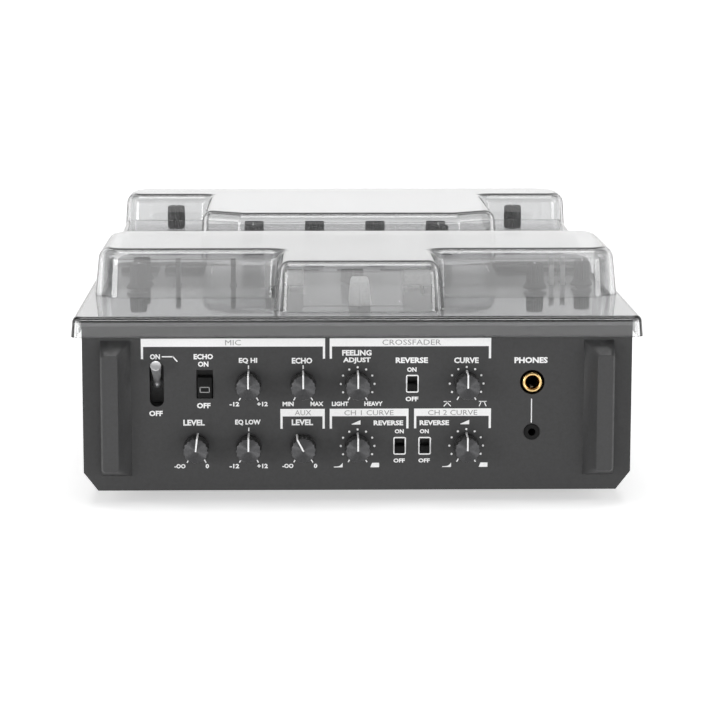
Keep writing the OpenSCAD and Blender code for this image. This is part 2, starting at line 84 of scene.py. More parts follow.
def as_mesh(obj):
    """The mesh of an object with its modifiers applied; the object itself is removed."""
    bpy.context.view_layer.update()
    depsgraph = bpy.context.evaluated_depsgraph_get()
    mesh = bpy.data.meshes.new_from_object(obj.evaluated_get(depsgraph))
    bpy.data.objects.remove(obj)
    return mesh


def helper(bm, name="helper"):
    mesh = bpy.data.meshes.new(name)
    bm.to_mesh(mesh)
    bm.free()
    obj = bpy.data.objects.new(name, mesh)
    bpy.context.collection.objects.link(obj)
    return obj


def add_piece(bm, name, body, materials, sharp=35, flip_check=True):
    """Turns a bmesh in millimetres into a finished piece in the frame."""
    if flip_check:
        bmesh.ops.recalc_face_normals(bm, faces=bm.faces)
    bm.transform(TO_FRAME)
    obj = helper(bm, name)
    for face in obj.data.polygons:
        face.use_smooth = True
    obj.data.set_sharp_from_angle(angle=math.radians(sharp))
    for material in materials:
        obj.data.materials.append(material)
    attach(obj, body)
    return obj


def lathe(profile, steps, place=Matrix()):
    """A solid turned about local z from a profile of (radius, z)."""
    bm = bmesh.new()
    verts = [bm.verts.new((r, 0, z)) for r, z in profile]
    edges = [bm.edges.new(pair) for pair in zip(verts, verts[1:])]
    bmesh.ops.spin(bm, geom=verts + edges, axis=(0, 0, 1), cent=(0, 0, 0), angle=math.tau,
                   steps=steps, use_merge=True)
    bmesh.ops.remove_doubles(bm, verts=bm.verts, dist=1e-4)
    bm.transform(place)
    return bm


def block(size, place=Matrix(), bevel=0.0, segments=2):
    """A box of the given size about the local origin, with rounded edges."""
    bm = bmesh.new()
    bmesh.ops.create_cube(bm, size=1)
    bmesh.ops.scale(bm, vec=size, verts=bm.verts)
    if bevel:
        bmesh.ops.bevel(bm, geom=bm.edges, offset=bevel, segments=segments, profile=0.5,
                        affect="EDGES", material=-1)
    bm.transform(place)
    return bm


def join(*parts):
    """One bmesh from several; a part may be a pair of a bmesh and a material index."""
    whole = bmesh.new()
    for part in parts:
        bm, index = part if isinstance(part, tuple) else (part, 0)
        for face in bm.faces:
            face.material_index = index
        mesh = bpy.data.meshes.new("part")
        bm.to_mesh(mesh)
        bm.free()
        whole.from_mesh(mesh)
        bpy.data.meshes.remove(mesh)
    return whole


# ---------------------------------------------------------------- materials

class Finish:
    """A material's node tree with its shader, and short calls for the patterns that feed it."""

    def __init__(self, name, colour, roughness, metallic=0.0, **sockets):
        self.material = bpy.data.materials.new(name)
        self.material.use_nodes = True
        self.tree = self.material.node_tree
        self.shader = self.tree.nodes["Principled BSDF"]
        self.shader.inputs["Base Color"].default_value = (*colour, 1)
        self.shader.inputs["Roughness"].default_value = roughness
        self.shader.inputs["Metallic"].default_value = metallic
        for socket, value in sockets.items():
            self.shader.inputs[socket.replace("_", " ")].default_value = value
        self.place = self.node("ShaderNodeTexCoord").outputs["Object"]

    def node(self, kind, **values):
        node = self.tree.nodes.new(kind)
        for key, value in values.items():
            setattr(node, key, value)
        return node

    def link(self, source, target):
        self.tree.links.new(source, target)

    def noise(self, scale, detail=3.0, stretch=(1, 1, 1)):
        mapping = self.node("ShaderNodeMapping")
        mapping.inputs["Scale"].default_value = stretch
        texture = self.node("ShaderNodeTexNoise")
        texture.inputs["Scale"].default_value = scale
        texture.inputs["Detail"].default_value = detail
        self.link(self.place, mapping.inputs["Vector"])
        self.link(mapping.outputs["Vector"], texture.inputs["Vector"])
        return texture.outputs["Fac"]

    def ranged(self, source, low, high, start=0.3, end=0.7):
        spread = self.node("ShaderNodeMapRange")
        for key, value in (("From Min", start), ("From Max", end), ("To Min", low), ("To Max", high)):
            spread.inputs[key].default_value = value
        self.link(source, spread.inputs["Value"])
        return spread.outputs["Result"]

    def mottle(self, colour_a, colour_b, scale, detail=3.0, stretch=(1, 1, 1)):
        ramp = self.node("ShaderNodeValToRGB")
        ramp.color_ramp.elements[0].position = 0.35
        ramp.color_ramp.elements[1].position = 0.65
        ramp.color_ramp.elements[0].color = (*colour_a, 1)
        ramp.color_ramp.elements[1].color = (*colour_b, 1)
        self.link(self.noise(scale, detail, stretch), ramp.inputs["Fac"])
        self.link(ramp.outputs["Color"], self.shader.inputs["Base Color"])
        return self

    def rough(self, low, high, scale, stretch=(1, 1, 1)):
        self.link(self.ranged(self.noise(scale, 4.0, stretch), low, high), self.shader.inputs["Roughness"])
        return self

    def grain(self, scale, depth_mm, detail=2.0, stretch=(1, 1, 1)):
        bump = self.node("ShaderNodeBump")
        bump.inputs["Strength"].default_value = 1.0
        bump.inputs["Distance"].default_value = depth_mm * MM
        self.link(self.noise(scale, detail, stretch), bump.inputs["Height"])
        self.link(bump.outputs["Normal"], self.shader.inputs["Normal"])
        return self

    def turned(self, axis):
        """Brushed in circles about the middle of the piece."""
        tangent = self.node("ShaderNodeTangent", direction_type="RADIAL", axis=axis)
        self.link(tangent.outputs["Tangent"], self.shader.inputs["Tangent"])
        return self


def shade(colour, factor):
    return tuple(min(1, c * factor) for c in colour)


def textured_paint(name, tone, roughness, grain_mm=0.012):
    """Paint with a fine grain, and faint cloudy variation in tone and gloss."""
    finish = Finish(name, (tone, tone, tone * 1.03), roughness)
    finish.mottle((tone * 0.93,) * 3, (tone * 1.05, tone * 1.05, tone * 1.09), 900, 5)
    finish.rough(roughness * 0.85, roughness * 1.15, 400)
    return finish.grain(2600, grain_mm).material


def moulded_plastic(name, tone, roughness, grain_mm=0.006, sheen=0.5):
    finish = Finish(name, (tone, tone, tone), roughness, Specular_IOR_Level=sheen)
    finish.mottle((tone * 0.9,) * 3, (tone * 1.1,) * 3, 700, 4)
    finish.rough(roughness - 0.05, roughness + 0.07, 500)
    return finish.grain(3200, grain_mm).material


def worked_metal(name, colour, roughness, stretch=(1, 1, 1)):
    """Metal with fine working marks, drawn out along the larger values of stretch."""
    scale = 1500
    finish = Finish(name, colour, roughness, 1.0)
    finish.mottle(shade(colour, 0.9), shade(colour, 1.06), scale, 3, stretch)
    finish.rough(roughness - 0.05, roughness + 0.08, scale, stretch)
    return finish.grain(scale, 0.004, 2, stretch).material


def clear_sheet(name, haze, low, high, clear=0.87, **sockets):
    """Clear polycarbonate with a haze: a slight haze is that of fine scratches and dust, while a heavier
    haze or a whiter or darker tone on some faces of the cover paints light or shade on them.
    """
    finish = Finish(name, (clear, clear * 1.004, clear * 1.008), low, IOR=1.5,
                    Transmission_Weight=1 - haze, **sockets)
    finish.rough(low, high, 60)
    return finish.grain(35, 0.008, 1).material


def print_ink(name, tone):
    finish = Finish(name, (tone, tone, tone), 0.55)
    finish.mottle((tone * 0.94,) * 3, (tone,) * 3, 1500, 3)
    return finish.grain(3000, 0.004).material


case_paint = textured_paint("case_paint", 0.028, 0.5)
deck_paint = textured_paint("deck_paint", 0.16, 0.14, 0.001)
guard_paint = textured_paint("guard_paint", 0.036, 0.46)
rear_paint = textured_paint("rear_paint", 0.05, 0.5)
foot_rubber = moulded_plastic("foot_rubber", 0.02, 0.75, 0.02)
knob_plastic = moulded_plastic("knob_plastic", 0.014, 0.38)
knob_rubber = moulded_plastic("knob_rubber", 0.022, 0.6, 0.01)
switch_plastic = moulded_plastic("switch_plastic", 0.006, 0.5, 0.006, 0.15)
# Lighter than the switch plastic, for the switch bodies seen in the windows: painted light that lifts them
# out of their shade
recess_plastic_painted_light = moulded_plastic("recess_plastic_painted_light", 0.07, 0.5)
cap_plastic = moulded_plastic("cap_plastic", 0.9, 0.35)
lever_plastic = moulded_plastic("lever_plastic", 0.12, 0.4)
pad_rubber = moulded_plastic("pad_rubber", 0.045, 0.65, 0.012)
pot_shell = moulded_plastic("pot_shell", 0.05, 0.5)
board_resist = Finish("board_resist", (0.01, 0.12, 0.05), 0.3).mottle(
    (0.006, 0.09, 0.035), (0.012, 0.15, 0.06), 300, 2, (1, 6, 1)).grain(900, 0.02).material
bare_metal = worked_metal("bare_metal", (0.6, 0.61, 0.63), 0.35, (1, 8, 1))
nickel = worked_metal("nickel", (0.55, 0.55, 0.56), 0.28)
black_steel = worked_metal("black_steel", (0.06, 0.06, 0.06), 0.35)
toggle_steel = worked_metal("toggle_steel", (0.85, 0.85, 0.86), 0.42, (1, 1, 5))
gilt_brass = worked_metal("gilt_brass", (0.83, 0.58, 0.26), 0.2)
spun_metal = Finish("spun_metal", (0.11, 0.11, 0.113), 0.5, 1.0, Anisotropic=0.97,
                    Anisotropic_Rotation=0.25).turned("Y").mottle(
    (0.1, 0.1, 0.103), (0.12, 0.12, 0.123), 1500).material
print_white = print_ink("print_white", 0.86)
print_grey = print_ink("print_grey", 0.3)
polycarbonate = clear_sheet("clear_polycarbonate", 0.07, 0.015, 0.03)
# A hazier, whiter copy for the flange's top: painted sheen that makes it evenly light
flange_painted_sheen_sheet = clear_sheet("flange_polycarbonate_painted_sheen", 0.23, 0.02, 0.05, 0.95)
skirt_sheet = clear_sheet("skirt_polycarbonate", 0.02, 0.015, 0.04)
# A hazier copy for the walls that face the user: painted light that lifts them
wall_painted_light_sheet = clear_sheet("wall_polycarbonate_painted_light", 0.25, 0.03, 0.06)
# A dark-toned, less reflective copy for the bend between skirt and flange: a painted dark band of shade
bend_painted_shade_sheet = clear_sheet("bend_polycarbonate_painted_shade", 0.0, 0.02, 0.04, 0.25, Specular_IOR_Level=0.12)


# ---------------------------------------------------------------- frame nodes that keep their shape

def softened(node, material, body="chassis", width=0.4, segments=2, angle=40):
    """Stands for a frame node: the same shape, with its sharp edges broken."""
    bm = bmesh.new()
    bm.from_mesh(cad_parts[node].data)
    bmesh.ops.remove_doubles(bm, verts=bm.verts, dist=1e-6)
    bmesh.ops.dissolve_limit(bm, angle_limit=math.radians(0.4), verts=bm.verts, edges=bm.edges)
    obj = helper(bm, node + "_finished")
    for face in obj.data.polygons:
        face.use_smooth = True
    obj.data.materials.clear()
    obj.data.materials.append(material)
    obj.data.set_sharp_from_angle(angle=math.radians(angle))
    bevel = obj.modifiers.new("edges", "BEVEL")
    bevel.width = width * MM
    bevel.segments = segments
    bevel.limit_method = "ANGLE"
    bevel.angle_limit = math.radians(angle)
    bevel.harden_normals = True
    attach(obj, body)
    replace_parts(obj, node)
    return obj


def dress(node, material):
    """Gives a frame node its material."""
    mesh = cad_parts[node].data
    mesh.materials.clear()
    mesh.materials.append(material)


softened("front_panel", case_paint, width=0.35)
softened("bottom_tray", case_paint, width=0.5)
softened("rear_panel", rear_paint, width=0.2)
softened("deck_plate", deck_paint, width=0.3)
softened("front_bumpers", guard_paint, width=0.9, segments=3, angle=25)
softened("rubber_feet", foot_rubber, width=0.4)
softened("power_inlet", switch_plastic, width=0.4)
softened("xlr_sockets", nickel, width=0.3)
softened("usb_sockets", nickel, width=0.2)
softened("case_screws", black_steel, width=0.2)
for name in ("input_selector_1", "input_selector_2"):
    softened(name, toggle_steel, name, 0.3)
for name in ("effect_lever_1", "effect_lever_2"):
    softened(name, lever_plastic, name, 0.4)
for name in ("pads_left", "pads_right", "effect_buttons"):
    softened(name, pad_rubber, name, 0.8, 3)
softened("power_rocker", switch_plastic, "power_rocker", 0.4)
for name, material in (("rca_sockets", gilt_brass), ("main_board", board_resist),
                       ("power_supply", bare_metal), ("fader_units", bare_metal),
                       ("front_potentiometers", pot_shell), ("deck_potentiometers", pot_shell),
                       ("front_switch_bodies", recess_plastic_painted_light)):
    dress(name, material)
softened("jack_bodies", switch_plastic, width=0.25)


# ---------------------------------------------------------------- dust cover

cover_low, cover_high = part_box("dust_cover")
COVER_HALF_W = cover_high[0] / MM
COVER_FRONT = (cover_low[1] - front_y_m) / MM
COVER_REAR = (cover_high[1] - front_y_m) / MM
SKIRT_Z = cover_low[2] / MM
REAR_DOME_Z = cover_high[2] / MM
SHEET = 2.0
FLANGE_Z = deck_z + SHEET
VALLEY_Z = FLANGE_Z + 5.3
PLATEAU_Z = FLANGE_Z + 11.3
FRONT_DOME_Z = FLANGE_Z + 24.4
FRONT_DOME_REAR = 160
REAR_SIDE_FRONT = 331
REAR_HALF_W = 85.5

# How far the walls lean in, and the radii of the top edges
FRONT_DRAFT = 3.0
REAR_DRAFT = FRONT_DRAFT * 0.7
VALLEY_DRAFT = 0.6
RIM_DRAFT = 0.9
TOP_EDGE_R = 5.6
VALLEY_EDGE_R = 3.4
RIM_R = 2.8
PLAN_STEPS = 7
EDGE_STEPS = 6

# The blocks' floors are staggered by this, because the joins between blocks are exact
FLOOR_STEP = 0.7
# A block's rounded top edge lies within this depth of its top
TOP_BAND = 4

# The walls that face the user get painted light in front of this depth: a hazier, so lighter, copy of the
# sheet
FRONT_WALLS_DEPTH = 75
# A face is level, or faces the user, when its normal's part that way is over SQUARE_ON,
# and it is part of the flange's top when it is also within LEVEL_GAP of it
SQUARE_ON = 0.9
LEVEL_GAP = 0.3
SHEETS = [polycarbonate, flange_painted_sheen_sheet, skirt_sheet, wall_painted_light_sheet, bend_painted_shade_sheet]


def both_sides(half, shift=0.0):
    """An outline from its right half of (x, depth, corner radius), front to rear, and a shift in x."""
    right = [(shift + x, depth, r) for x, depth, r in half]
    return right + [(shift - x, depth, r) for x, depth, r in reversed(half)]


def moved_in(corners, t):
    """The outline moved inwards by t, with each corner's radius changed to suit."""
    moved = []
    for i, (x, y, r) in enumerate(corners):
        before = Vector(corners[i - 1][:2])
        after = Vector(corners[(i + 1) % len(corners)][:2])
        here = Vector((x, y))
        arriving = (here - before).normalized()
        leaving = (after - here).normalized()
        turn = arriving.x * leaving.y - arriving.y * leaving.x
        normal_a = Vector((-arriving.y, arriving.x))
        normal_b = Vector((-leaving.y, leaving.x))
        shift = (normal_a + normal_b) * t / (1 + normal_a.dot(normal_b))
        moved.append((x + shift.x, y + shift.y, r - t if turn > 0 else r + t))
    return moved


def dome(corners, base, top, draft, edge_r):
    """A closed block with rounded corners in plan, drafted walls and a rounded top edge."""
    bm = bmesh.new()
    verts = [bm.verts.new((x, y, base)) for x, y, r in corners]
    face = bm.faces.new(verts)
    face.normal_update()
    for i, (x, y, r) in enumerate(corners):
        before = Vector(corners[i - 1][:2]) - Vector((x, y))
        after = Vector(corners[(i + 1) % len(corners)][:2]) - Vector((x, y))
        reach = r / math.tan(before.angle(after) / 2)
        bmesh.ops.bevel(bm, geom=[verts[i]], offset=reach, segments=PLAN_STEPS, profile=0.5,
                        affect="VERTICES", clamp_overlap=False, material=-1)
    floor = bm.faces[:]
    for f in floor:
        f.normal_update()
        if f.normal.z < 0:
            f.normal_flip()
    bmesh.ops.inset_region(bm, faces=floor, thickness=draft, depth=top - base,
                           use_boundary=True, use_even_offset=True)
    rim = [e for f in floor for e in f.edges]
    bmesh.ops.bevel(bm, geom=rim, offset=edge_r, segments=EDGE_STEPS, profile=0.5,
                    affect="EDGES", clamp_overlap=False, material=-1)
    open_edges = [e for e in bm.edges if e.is_boundary]
    bmesh.ops.contextual_create(bm, geom=open_edges)
    bmesh.ops.recalc_face_normals(bm, faces=bm.faces)
    return bm


def sloped(bm, t):
    """Lowers a flat-topped block's top towards the front, down to the valley behind the front dome."""
    for depth in (FRONT_DOME_REAR, REAR_SIDE_FRONT):
        bmesh.ops.bisect_plane(bm, geom=bm.verts[:] + bm.edges[:] + bm.faces[:], dist=1e-5,
                               plane_co=(0, depth, 0), plane_no=(0, 1, 0))
    for vert in bm.verts:
        if vert.co.z > PLATEAU_Z - t - TOP_BAND:
            share = (REAR_SIDE_FRONT - vert.co.y) / (REAR_SIDE_FRONT - FRONT_DOME_REAR)
            vert.co.z -= (PLATEAU_Z - VALLEY_Z) * min(1, max(0, share))
    return bm


def cover_blocks(t, base):
    """The four blocks that make the cover's outside (t = 0) or its inside (t = SHEET)."""
    rim = both_sides([(COVER_HALF_W, COVER_FRONT, 6), (COVER_HALF_W, COVER_REAR, 6)])
    front = both_sides([(42.5, 13, 9.5), (42.5, 65.5, 3), (134.6, 65.5, 17), (134.6, 161, 15)], 1.2)
    valley = both_sides([(133.5, 120, 8), (133.5, 360, 12)])
    rear = both_sides([(62, 218.5, 9), (REAR_HALF_W, 234.5, 9), (REAR_HALF_W, 330.5, 3),
                       (135, 330.5, 12), (135, 379, 18)], 0.4)
    low = base - 1 if t else FLANGE_Z - 3
    edge = TOP_EDGE_R - t
    return [
        dome(moved_in(rim, t), base, FLANGE_Z - t, RIM_DRAFT, RIM_R - t),
        sloped(dome(moved_in(valley, t), low, PLATEAU_Z - t, VALLEY_DRAFT, VALLEY_EDGE_R - t), t),
        dome(moved_in(front, t), low - FLOOR_STEP, FRONT_DOME_Z - t, FRONT_DRAFT, edge),
        dome(moved_in(rear, t), low - 2 * FLOOR_STEP, REAR_DOME_Z - t, REAR_DRAFT, edge),
    ]


def combined(first, others, operation):
    for other in others:
        modifier = first.modifiers.new("join", "BOOLEAN")
        modifier.operation = operation
        modifier.solver = "EXACT"
        modifier.object = other
    mesh = as_mesh(first)
    for other in others:
        bpy.data.objects.remove(other)
    obj = bpy.data.objects.new("helper", mesh)
    bpy.context.collection.objects.link(obj)
    return obj


def sheet_of(face):
    """The copy of the clear sheet that one face of the cover gets: the bend above the skirt a darker one for
    painted shade, the skirt a clearer one, the flange's top a hazier, whiter one for painted sheen, and the
    walls that face the user a hazier one for painted light.
    """
    middle = face.calc_center_median()
    above = middle.z - FLANGE_Z
    if -RIM_R < above < -0.05 and 0.1 < face.normal.z < 0.995:
        return bend_painted_shade_sheet
    if above < -LEVEL_GAP:
        return skirt_sheet
    if above < LEVEL_GAP and face.normal.z > SQUARE_ON:
        return flange_painted_sheen_sheet
    if face.normal.y < -SQUARE_ON and middle.y < FRONT_WALLS_DEPTH:
        return wall_painted_light_sheet
    return polycarbonate


def build_cover():
    outside = [helper(bm) for bm in cover_blocks(0, SKIRT_Z)]
    inside = [helper(bm) for bm in cover_blocks(SHEET, SKIRT_Z - 6)]
    outer = combined(outside[0], outside[1:], "UNION")
    inner = combined(inside[0], inside[1:], "UNION")
    shell = combined(outer, [inner], "DIFFERENCE")
    bm = bmesh.new()
    bm.from_mesh(shell.data)
    bpy.data.objects.remove(shell)
    bmesh.ops.remove_doubles(bm, verts=bm.verts, dist=1e-3)
    bmesh.ops.dissolve_limit(bm, angle_limit=math.radians(0.3), verts=bm.verts, edges=bm.edges)
    for face in bm.faces:
        face.material_index = SHEETS.index(sheet_of(face))
    cover = add_piece(bm, "clear_cover", "dust_cover", SHEETS, 50, False)
    bevel = cover.modifiers.new("seams", "BEVEL")
    bevel.width = 0.7 * MM
    bevel.segments = 2
    bevel.limit_method = "ANGLE"
    bevel.angle_limit = math.radians(50)
    bevel.harden_normals = False
    weighted = cover.modifiers.new("shading", "WEIGHTED_NORMAL")
    weighted.keep_sharp = False
    weighted.weight = 80
    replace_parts(cover, "dust_cover")


build_cover()


# ---------------------------------------------------------------- knobs

FRONT_KNOBS = {"mic_high_knob": 0, "echo_knob": 0, "feeling_adjust_knob": 0, "crossfader_curve_knob": 0,
               "mic_level_knob": -7, "mic_low_knob": 0, "aux_level_knob": 28, "channel_1_curve_knob": 0,
               "channel_2_curve_knob": 0}
CHANNEL, SLIM, TRIM = (6.0, 6.4), (4.6, 6.2), (5.4, 6.2)
DECK_KNOBS = {"channel_1_high_knob": CHANNEL, "channel_1_mid_knob": CHANNEL, "channel_1_low_knob": CHANNEL,
              "channel_2_high_knob": CHANNEL, "channel_2_mid_knob": CHANNEL, "channel_2_low_knob": CHANNEL,
              "filter_1_knob": CHANNEL, "filter_2_knob": CHANNEL, "master_level_knob": CHANNEL,
              "trim_1_knob": TRIM, "trim_2_knob": TRIM, "phones_level_knob": SLIM,
              "phones_mix_knob": SLIM, "sampler_level_knob": SLIM, "booth_level_knob": SLIM}
SKIRT_R = 6.2
KNOB_TIP = -(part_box("echo_knob")[0][1] - front_y_m) / MM
KNOB_FLUTES = 16
KNOB_FLUTE_DEPTH = 0.4
DECK_FLUTES = 20
DECK_FLUTE_DEPTH = 0.35


def fluted(bm, low, high, flutes, depth):
    """Presses rounded flutes into a turned shape between two heights."""
    for vert in bm.verts:
        if low < vert.co.z < high:
            angle = math.atan2(vert.co.y, vert.co.x)
            cut = depth * (0.5 - 0.5 * math.cos(flutes * angle)) ** 2
            radius = math.hypot(vert.co.x, vert.co.y)
            vert.co.x *= (radius - cut) / radius
            vert.co.y *= (radius - cut) / radius


def pointer(radius, top, low, width=0.78):
    """A white line from the knob's middle over its edge and down its side."""
    thick = 0.14
    face = block((width, radius + 0.5, thick), Matrix.Translation((0, radius / 2 - 0.1, top)), 0.05)
    side = block((width, 0.7, top - low), Matrix.Translation((0, radius - 0.2, (top + low) / 2)), 0.05)
    for vert in side.verts:
        if vert.co.y > radius - 0.2:
            vert.co.y += 0.75 * (top - vert.co.z) / (top - low)
    return join(face, side)


def knob_centre(node):
    """A front knob's axis, as x and z."""
    return centre_of(node)[0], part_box(node)[0][2] / MM + SKIRT_R


def front_knob(node, turn):
    """A fluted knob with a turned metal face; turn is where its pointer stands at rest, in degrees."""
    place = on_front(*knob_centre(node)) @ Matrix.Rotation(math.radians(turn), 4, "Z")
    body = lathe([(2.6, 0.4), (2.6, 1.0), (5.95, 1.0), (SKIRT_R, 1.2), (SKIRT_R, 2.0), (6.0, 2.3),
                  (5.7, 2.6), (5.7, 3.2), (6.05, 3.6), (6.1, 6), (6.1, 9), (6.1, KNOB_TIP - 0.6),
                  (5.95, KNOB_TIP - 0.25)], KNOB_FLUTES * 8)
    fluted(body, 3.3, KNOB_TIP, KNOB_FLUTES, KNOB_FLUTE_DEPTH)
    disc = lathe([(5.95, KNOB_TIP - 0.25), (5.8, KNOB_TIP - 0.14), (3, KNOB_TIP - 0.1),
                  (0, KNOB_TIP - 0.08)], KNOB_FLUTES * 8)
    fluted(disc, KNOB_TIP - 0.3, KNOB_TIP - 0.12, KNOB_FLUTES, KNOB_FLUTE_DEPTH)
    mark = pointer(6.0, KNOB_TIP - 0.04, 1.1)
    whole = join((body, 0), (disc, 1), (mark, 2))
    whole.transform(place)
    obj = add_piece(whole, node + "_cap", node, [knob_plastic, spun_metal, print_white],
                    30, False)
    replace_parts(obj, node)


def deck_knob(node, r, skirt):
    """A fluted rubber knob of radius r over a wider skirt."""
    x, depth, _ = centre_of(node)
    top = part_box(node)[1][2] / MM - deck_z
    shoulder = 2.4 + skirt - r
    profile = [(2.6, 0.3), (2.6, 1.0), (skirt - 0.3, 1.0), (skirt, 1.3), (skirt, 2.1), (r + 0.2, shoulder),
               (r, shoulder + 0.8), (r - 0.1, top * 0.7), (r - 0.25, top - 0.9), (r - 0.6, top - 0.3),
               (r - 1.2, top), (0, top)]
    body = lathe(profile, DECK_FLUTES * 6)
    fluted(body, shoulder + 0.4, top - 0.2, DECK_FLUTES, DECK_FLUTE_DEPTH)
    whole = join((body, 0), (pointer(r - 0.25, top - 0.02, shoulder, 0.9), 1))
    whole.transform(on_deck(round(x, 1), round(depth, 1)))
    obj = add_piece(whole, node + "_cap", node, [knob_rubber, print_white], 30, False)
    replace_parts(obj, node)


for name, turn in FRONT_KNOBS.items():
    front_knob(name, turn)
for name, (radius, skirt) in DECK_KNOBS.items():
    deck_knob(name, radius, skirt)


# ---------------------------------------------------------------- switches, jacks, faders

UPPER_Z = knob_centre("echo_knob")[1]
LOWER_Z = knob_centre("mic_low_knob")[1]
TOGGLE_X = centre_of("mic_toggle")[0]
TOGGLE_DEPTH = 6
TOGGLE_LEAN = 53
TOGGLE_LEN = 17.6


def toggle_bat():
    """A conical bat with a flat end, on the ball that it turns about."""
    bat = lathe([(0, -2.6), (1.8, -1.9), (2.6, 0), (2.2, 1.4), (1.75, 2.2), (1.6, 3.4), (1.75, 5),
                 (2.25, 12), (2.55, TOGGLE_LEN - 0.9), (2.65, TOGGLE_LEN - 0.45), (2.5, TOGGLE_LEN - 0.12),
                 (2.2, TOGGLE_LEN), (0, TOGGLE_LEN)], 48)
    bat.transform(Matrix.Translation((TOGGLE_X, TOGGLE_DEPTH, UPPER_Z))
                  @ Matrix.Rotation(math.radians(TOGGLE_LEAN), 4, "X"))
    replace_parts(add_piece(bat, "mic_toggle_bat", "mic_toggle", [toggle_steel], 40),
                "mic_toggle")


def slide_button(node, frame_size=None):
    """A slide switch's button: a ribbed or framed top on a block that fills its window."""
    low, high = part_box(node)
    x, _, z = centre_of(node)
    width, height = (high[0] - low[0]) / MM, (high[2] - low[2]) / MM
    rise = (front_y_m - low[1]) / MM
    length = (high[1] - low[1]) / MM
    place = on_front(x, z, rise)
    parts = [(block((width, height, length), place @ Matrix.Translation((0, 0, -length / 2)), 0.45, 3), 0)]
    if frame_size:
        frame_w, frame_h, drop = frame_size
        rib = 0.45
        for side in (-1, 1):
            across = Matrix.Translation((0, drop + side * (frame_h - rib) / 2, 0.02))
            along = Matrix.Translation((side * (frame_w - rib) / 2, drop, 0.02))
            parts.append((block((frame_w, rib, 0.3), place @ across, 0.08), 1))
            parts.append((block((rib, frame_h, 0.3), place @ along, 0.08), 1))
    else:
        for step in (-1, 0, 1):
            raised = place @ Matrix.Translation((0, step, 0.05))
            parts.append((block((width - 1, 0.45, 0.5), raised, 0.15), 0))
    piece = add_piece(join(*parts), node + "_button", node, [switch_plastic, print_grey])
    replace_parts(piece, node)


def phones_jack():
    """A gilt ring with a rolled edge, and the contact spring inside its bore."""
    x, _, z = centre_of("phones_jack_ring")
    ring = lathe([(3.25, -11), (3.25, 0.1), (3.4, 0.55), (3.75, 0.88), (4.1, 1.0), (4.45, 0.88),
                  (4.78, 0.5), (4.9, 0), (4.9, -11), (3.25, -11)], 64, on_front(x, z))
    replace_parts(add_piece(ring, "phones_ring_gilt", "chassis", [gilt_brass], 40),
                "phones_jack_ring")
    spring = block((1.5, 0.25, 7), on_front(x, z, -7) @ Matrix.Translation((0, -2.75, 0)), 0.1)
    add_piece(spring, "phones_contact", "chassis", [bare_metal])


def fader_cap(node, along_x):
    """The frame's cap in pale plastic, and a line across its top and down its ends."""
    softened(node, cap_plastic, node, 0.7, 3, 25)
    x, depth, _ = centre_of(node)
    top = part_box(node)[1][2] / MM
    turn = Matrix.Rotation(math.radians(90 if along_x else 0), 4, "Z")
    place = Matrix.Translation((x, depth, top)) @ turn
    parts = [block((1.0, 18.8, 0.16), place, 0.05)]
    for end in (-1, 1):
        parts.append(block((1.0, 0.16, 11), place @ Matrix.Translation((0, end * 10, -6.2)), 0.05))
    add_piece(join(*parts), node + "_line", node, [print_white])


toggle_bat()
slide_button("echo_switch", (4.9, 2.9, -1.0))
for name in ("crossfader_reverse_switch", "channel_1_reverse_switch", "channel_2_reverse_switch"):
    slide_button(name)
phones_jack()
fader_cap("crossfader_cap", False)
fader_cap("channel_fader_1", True)
fader_cap("channel_fader_2", True)


# ---------------------------------------------------------------- printing

INK = 0.05


def inked(bm, level=0):
    """Gives flat artwork in local x and y the thickness of printed ink."""
    grown = bmesh.ops.extrude_face_region(bm, geom=bm.faces[:])
    top = [item for item in grown["geom"] if isinstance(item, bmesh.types.BMVert)]
    bmesh.ops.translate(bm, vec=(0, 0, INK), verts=top)
    bmesh.ops.translate(bm, vec=(0, 0, level * INK), verts=bm.verts)
    return bm


def flat(points):
    bm = bmesh.new()
    bm.faces.new([bm.verts.new((x, y, 0)) for x, y in points])
    return bm


def bar(left, low, right, high):
    return inked(flat([(left, low), (right, low), (right, high), (left, high)]))


def outline(x, y, width, height, line, corner):
    """A rounded rectangle drawn as a line of the given width."""
    bm = flat([(x - width / 2, y - height / 2), (x + width / 2, y - height / 2),
               (x + width / 2, y + height / 2), (x - width / 2, y + height / 2)])
    bmesh.ops.bevel(bm, geom=bm.verts, offset=corner, segments=4, profile=0.5,
                    affect="VERTICES", material=-1)
    middle = bm.faces[:]
    bmesh.ops.inset_region(bm, faces=middle, thickness=line, use_boundary=True, use_even_offset=True)
    bmesh.ops.delete(bm, geom=middle, context="FACES")
    return inked(bm)


def stroke(points, width=0.45):
    """A line through the points, with square ends."""
    parts = []
    for start, end in zip(points, points[1:]):
        a, b = Vector(start), Vector(end)
        along = (b - a).normalized() * width / 2
        side = Vector((-along.y, along.x))
        parts.append(inked(flat([a - along - side, b + along - side, b + along + side, a - along + side])))
    return join(*parts)


def spot(x, y, r):
    bm = bmesh.new()
    bmesh.ops.create_circle(bm, cap_ends=True, segments=16, radius=r, matrix=Matrix.Translation((x, y, 0)))
    return inked(bm)


